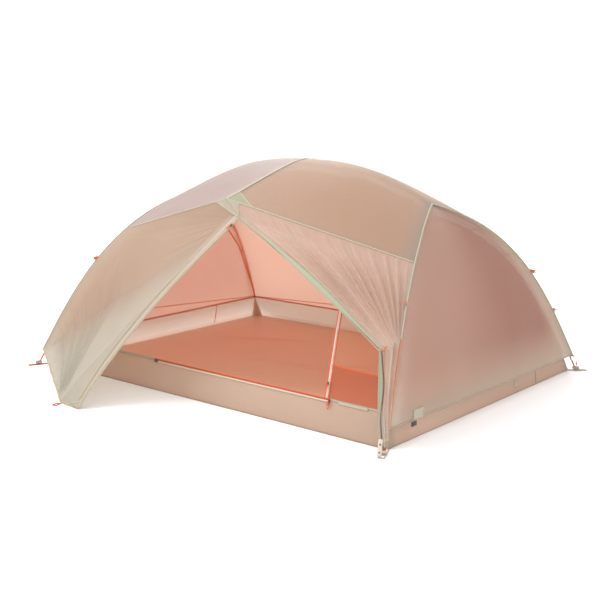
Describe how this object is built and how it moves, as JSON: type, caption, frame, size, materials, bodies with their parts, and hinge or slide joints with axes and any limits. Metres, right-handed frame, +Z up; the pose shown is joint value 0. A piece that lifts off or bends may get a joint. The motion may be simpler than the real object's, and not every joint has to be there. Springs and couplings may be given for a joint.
{
  "type": "tent on poles",
  "caption": "Freestanding camping tent: aluminium ridge and brow poles carry an inner tent and a rain fly with a zipped vestibule on each side, one open and tied back.",
  "frame": {"origin": "middle of the floor's underside, on the ground", "axes": "+X towards the head end, +Z up, -Y towards the open front door"},
  "size_m": [2.4718, 2.7358, 1.1435],
  "materials": {
    "fly_fabric": "thin translucent ripstop nylon",
    "fly_end_fabric": "thin translucent ripstop nylon",
    "inner_fabric": "fine mesh and light woven nylon",
    "floor_fabric": "coated floor nylon",
    "webbing": "woven webbing",
    "pole_tube": "anodised tube",
    "orange_tip": "moulded",
    "hub": "moulded",
    "zip_slider": "die-cast",
    "zip_pull": "cord loop"
  },
  "bodies": {
    "pitched_tent": {"bathtub_floor": "floor_fabric", "brow_pole_back": "pole_tube", "brow_pole_front": "pole_tube", "brow_tip_back": "orange_tip", "brow_tip_front": "orange_tip", "corner_clip_back_left": "hub", "corner_clip_back_right": "hub", "corner_clip_front_left": "hub", "corner_clip_front_right": "hub", "corner_webbing_back_left": "webbing", "corner_webbing_back_right": "webbing", "corner_webbing_front_left": "webbing", "corner_webbing_front_right": "webbing", "fly_end_foot": "fly_end_fabric", "fly_end_head": "fly_end_fabric", "fly_roof_foot": "fly_fabric", "fly_roof_head": "fly_fabric", "inner_door_rolled": "inner_fabric", "inner_roof_foot": "inner_fabric", "inner_roof_head": "inner_fabric", "inner_wall_back": "inner_fabric", "inner_wall_foot": "inner_fabric", "inner_wall_front": "inner_fabric", "inner_wall_head": "inner_fabric", "leg_pole_back_left_lower": "pole_tube", "leg_pole_back_left_upper": "pole_tube", "leg_pole_back_right_lower": "pole_tube", "leg_pole_back_right_upper": "pole_tube", "leg_pole_front_left_lower": "pole_tube", "leg_pole_front_left_upper": "pole_tube", "leg_pole_front_right_lower": "pole_tube", "leg_pole_front_right_upper": "pole_tube", "pole_hub_foot": "hub", "pole_hub_head": "hub", "pole_tip_back_left": "orange_tip", "pole_tip_back_right": "orange_tip", "pole_tip_front_left": "orange_tip", "pole_tip_front_right": "orange_tip", "ridge_pole_foot": "pole_tube", "ridge_pole_head": "pole_tube", "stake_loop_back": "webbing", "swivel_hub_lower": "hub", "swivel_hub_upper": "hub", "vestibule_back_left": "fly_fabric", "vestibule_back_right": "fly_fabric", "vestibule_bundle": "fly_fabric", "vestibule_front_fixed": "fly_fabric", "vestibule_gathered": "fly_fabric"},
    "vestibule_flap": {"vestibule_flap": "fly_fabric", "stake_loop_front": "webbing"},
    "front_fly_zip_slider": {"front_fly_zip_slider": "zip_slider"},
    "front_fly_zip_pull": {"front_fly_zip_pull": "zip_pull"},
    "back_fly_zip_slider": {"back_fly_zip_slider": "zip_slider"},
    "back_fly_zip_pull": {"back_fly_zip_pull": "zip_pull"},
    "inner_sill_zip_slider": {"inner_sill_zip_slider": "zip_slider"},
    "inner_sill_zip_pull": {"inner_sill_zip_pull": "zip_pull"},
    "inner_side_zip_slider": {"inner_side_zip_slider": "zip_slider"},
    "inner_side_zip_pull": {"inner_side_zip_pull": "zip_pull"},
    "tieback_toggle": {"tieback_toggle": "orange_tip"}
  },
  "joints": [
    {"name": "vestibule_flap_fold", "type": "hinge", "parent": "pitched_tent", "child": "vestibule_flap", "pos_m": [0.12, -0.65, 0.888], "axis": [-0.8381, -0.1552, -0.5229], "range_deg": [0, 105]},
    {"name": "front_fly_zip_travel", "type": "slide", "parent": "vestibule_flap", "child": "front_fly_zip_slider", "axis": [-0.4824, -0.5331, -0.695], "range_m": [0, 0.22]},
    {"name": "front_fly_zip_pull_swing", "type": "hinge", "parent": "front_fly_zip_slider", "child": "front_fly_zip_pull", "pos_m": [0.0905, -0.68867, 0.85891], "axis": [-0.8718, 0.369, 0.3221], "range_deg": [0, 120]},
    {"name": "back_fly_zip_travel", "type": "slide", "parent": "pitched_tent", "child": "back_fly_zip_slider", "axis": [-0.2597, -0.5688, 0.7804], "range_m": [0, 0.85]},
    {"name": "back_fly_zip_pull_swing", "type": "hinge", "parent": "back_fly_zip_slider", "child": "back_fly_zip_pull", "pos_m": [0.29017, 1.26292, 0.1104], "axis": [0.9606, -0.2348, 0.1486], "range_deg": [0, 120]},
    {"name": "inner_sill_zip_travel", "type": "slide", "parent": "pitched_tent", "child": "inner_sill_zip_slider", "axis": [-1, 0, 0], "range_m": [0, 1.1]},
    {"name": "inner_sill_zip_pull_swing", "type": "hinge", "parent": "inner_sill_zip_slider", "child": "inner_sill_zip_pull", "pos_m": [0.8, -0.82194, 0.13429], "axis": [-1, 0, 0], "range_deg": [0, 120]},
    {"name": "inner_side_zip_travel", "type": "slide", "parent": "pitched_tent", "child": "inner_side_zip_slider", "axis": [-0.1543, 0.4349, 0.8872], "range_m": [0, 0.28]},
    {"name": "inner_side_zip_pull_swing", "type": "hinge", "parent": "inner_side_zip_slider", "child": "inner_side_zip_pull", "pos_m": [0.76789, -0.78831, 0.21001], "axis": [-0.9852, 0, -0.1713], "range_deg": [0, 120]},
    {"name": "tieback_toggle_turn", "type": "hinge", "parent": "pitched_tent", "child": "tieback_toggle", "pos_m": [1.113, -0.84, 0.43], "axis": [0, -1, 0], "range_deg": [-60, 60]}
  ]
}
